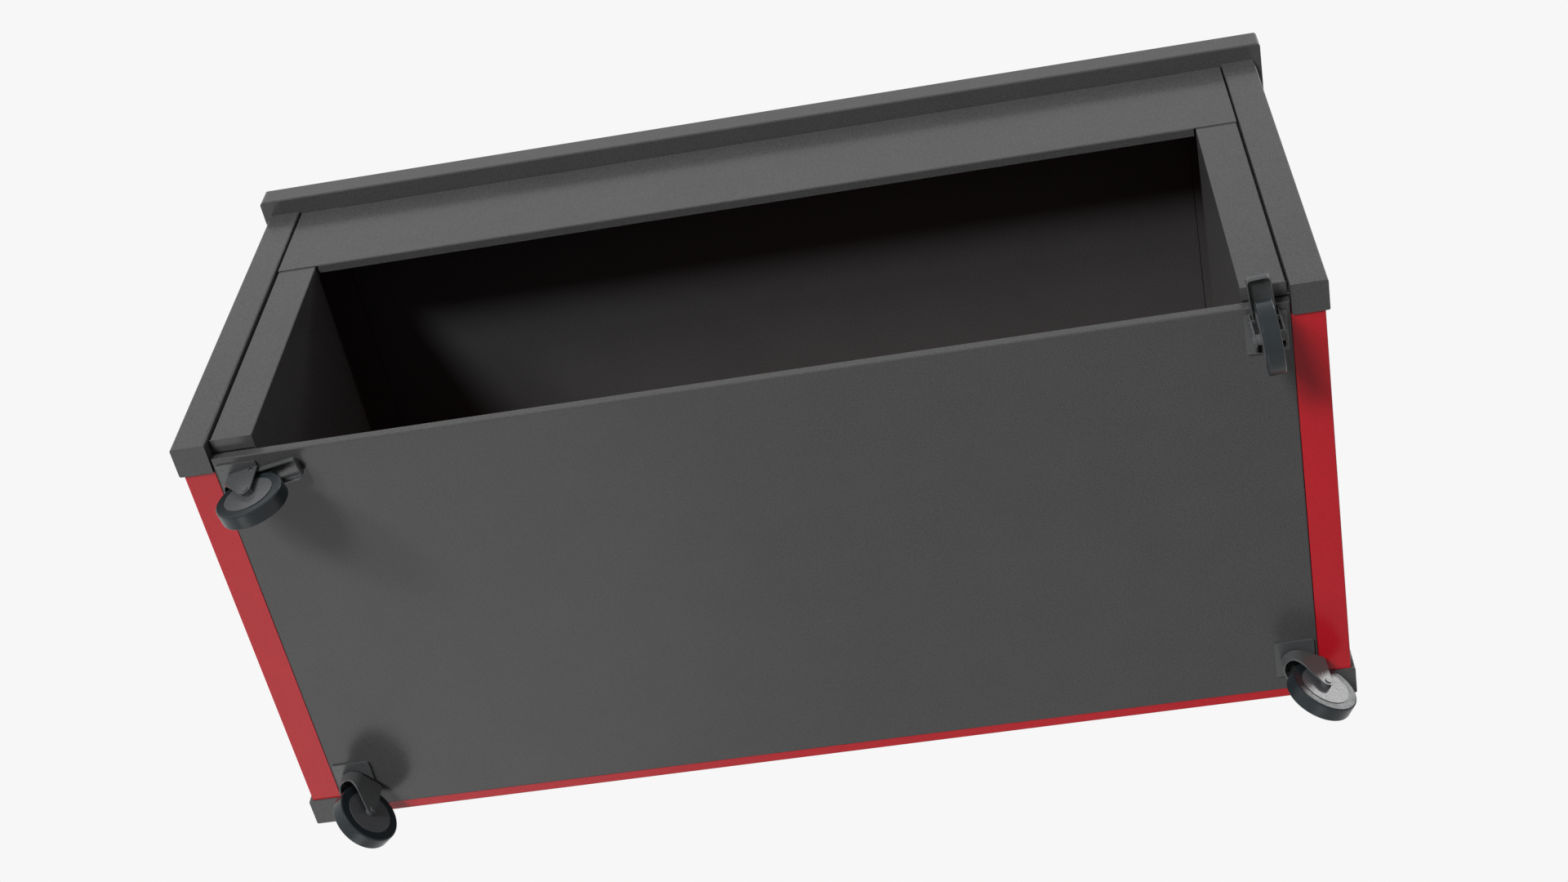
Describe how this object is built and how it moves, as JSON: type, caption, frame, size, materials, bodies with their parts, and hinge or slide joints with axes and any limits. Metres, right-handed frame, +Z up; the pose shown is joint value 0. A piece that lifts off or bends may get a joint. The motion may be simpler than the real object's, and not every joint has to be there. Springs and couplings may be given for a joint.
{
  "type": "rolling tool chest",
  "caption": "Wide steel tool chest on swivel casters: open front storage bay under a plain rail, shallow top compartment beneath a hinged worktop lid.",
  "frame": {"origin": "on the floor, midway across and midway along the box of the whole chest", "axes": "+Z up, the open bay faces -Y, +X towards the right-hand side seen from the open bay"},
  "size_m": [1.624, 0.7444, 0.8475],
  "materials": {
    "grey_paint": "fine-texture powder coat",
    "red_paint": "fine-texture powder coat",
    "zinc_steel": "zinc plated, satin",
    "hub_plastic": "moulded, satin",
    "tyre": "smooth solid rubber",
    "shoe_rubber": "matt"
  },
  "bodies": {
    "cabinet": {"bottom_pan": "grey_paint", "front_left_post": "grey_paint", "front_right_post": "grey_paint", "rear_left_post": "grey_paint", "rear_right_post": "grey_paint", "left_side_panel": "red_paint", "right_side_panel": "red_paint", "back_panel": "red_paint", "left_cheek": "grey_paint", "right_cheek": "grey_paint", "front_rail": "grey_paint", "till_floor": "grey_paint", "hinge_rail": "grey_paint", "hinge_body_leaf": "zinc_steel", "hinge_pin": "zinc_steel", "caster_gussets": "zinc_steel", "caster_screws": "zinc_steel", "plate_front_left": "zinc_steel", "king_pin_front_left": "zinc_steel", "ball_race_front_left": "zinc_steel", "plate_front_right": "zinc_steel", "king_pin_front_right": "zinc_steel", "ball_race_front_right": "zinc_steel", "plate_rear_left": "zinc_steel", "king_pin_rear_left": "zinc_steel", "ball_race_rear_left": "zinc_steel", "plate_rear_right": "zinc_steel", "king_pin_rear_right": "zinc_steel", "ball_race_rear_right": "zinc_steel"},
    "lid": {"lid_skin": "grey_paint", "lid_liner": "grey_paint", "lid_stiffeners": "zinc_steel", "hinge_lid_leaf": "zinc_steel"},
    "swivel_front_left": {"fork_front_left": "zinc_steel", "axle_front_left": "zinc_steel", "bush_front_left": "zinc_steel", "pedal_rivets_left": "zinc_steel"},
    "wheel_front_left": {"wheel_core_front_left": "hub_plastic", "tyre_front_left": "tyre"},
    "pedal_left": {"brake_pedal_left": "zinc_steel", "brake_shoe_left": "shoe_rubber"},
    "swivel_front_right": {"fork_front_right": "zinc_steel", "axle_front_right": "zinc_steel", "bush_front_right": "zinc_steel", "pedal_rivets_right": "zinc_steel"},
    "wheel_front_right": {"wheel_core_front_right": "hub_plastic", "tyre_front_right": "tyre"},
    "pedal_right": {"brake_pedal_right": "zinc_steel", "brake_shoe_right": "shoe_rubber"},
    "swivel_rear_left": {"fork_rear_left": "zinc_steel", "axle_rear_left": "zinc_steel", "bush_rear_left": "zinc_steel"},
    "wheel_rear_left": {"wheel_core_rear_left": "hub_plastic", "tyre_rear_left": "tyre"},
    "swivel_rear_right": {"fork_rear_right": "zinc_steel", "axle_rear_right": "zinc_steel", "bush_rear_right": "zinc_steel"},
    "wheel_rear_right": {"wheel_core_rear_right": "hub_plastic", "tyre_rear_right": "tyre"}
  },
  "joints": [
    {"name": "lid_hinge", "type": "hinge", "parent": "cabinet", "child": "lid", "pos_m": [0, 0.36795, 0.80425], "axis": [-1, 0, 0], "range_deg": [0, 82]},
    {"name": "swivel_front_left", "type": "hinge", "parent": "cabinet", "child": "swivel_front_left", "pos_m": [-0.7145, -0.27995, 0.115], "axis": [0, 0, 1], "continuous": true},
    {"name": "wheel_front_left", "type": "hinge", "parent": "swivel_front_left", "child": "wheel_front_left", "pos_m": [-0.68397, -0.28533, 0.05], "axis": [0.1736, 0.9848, 0], "continuous": true},
    {"name": "brake_left", "type": "hinge", "parent": "swivel_front_left", "child": "pedal_left", "pos_m": [-0.68693, -0.28481, 0.1], "axis": [0.1736, 0.9848, 0], "range_deg": [0, 7]},
    {"name": "swivel_front_right", "type": "hinge", "parent": "cabinet", "child": "swivel_front_right", "pos_m": [0.7145, -0.27995, 0.115], "axis": [0, 0, 1], "continuous": true},
    {"name": "wheel_front_right", "type": "hinge", "parent": "swivel_front_right", "child": "wheel_front_right", "pos_m": [0.71218, -0.31086, 0.05], "axis": [0.9972, -0.075, 0], "continuous": true},
    {"name": "brake_right", "type": "hinge", "parent": "swivel_front_right", "child": "pedal_right", "pos_m": [0.7124, -0.30787, 0.1], "axis": [0.9972, -0.075, 0], "range_deg": [0, 7]},
    {"name": "swivel_rear_left", "type": "hinge", "parent": "cabinet", "child": "swivel_rear_left", "pos_m": [-0.7145, 0.28305, 0.115], "axis": [0, 0, 1], "continuous": true},
    {"name": "wheel_rear_left", "type": "hinge", "parent": "swivel_rear_left", "child": "wheel_rear_left", "pos_m": [-0.69453, 0.30676, 0.05], "axis": [-0.7649, 0.6441, 0], "continuous": true},
    {"name": "swivel_rear_right", "type": "hinge", "parent": "cabinet", "child": "swivel_rear_right", "pos_m": [0.7145, 0.28305, 0.115], "axis": [0, 0, 1], "continuous": true},
    {"name": "wheel_rear_right", "type": "hinge", "parent": "swivel_rear_right", "child": "wheel_rear_right", "pos_m": [0.74135, 0.29855, 0.05], "axis": [-0.5, 0.866, 0], "continuous": true}
  ]
}
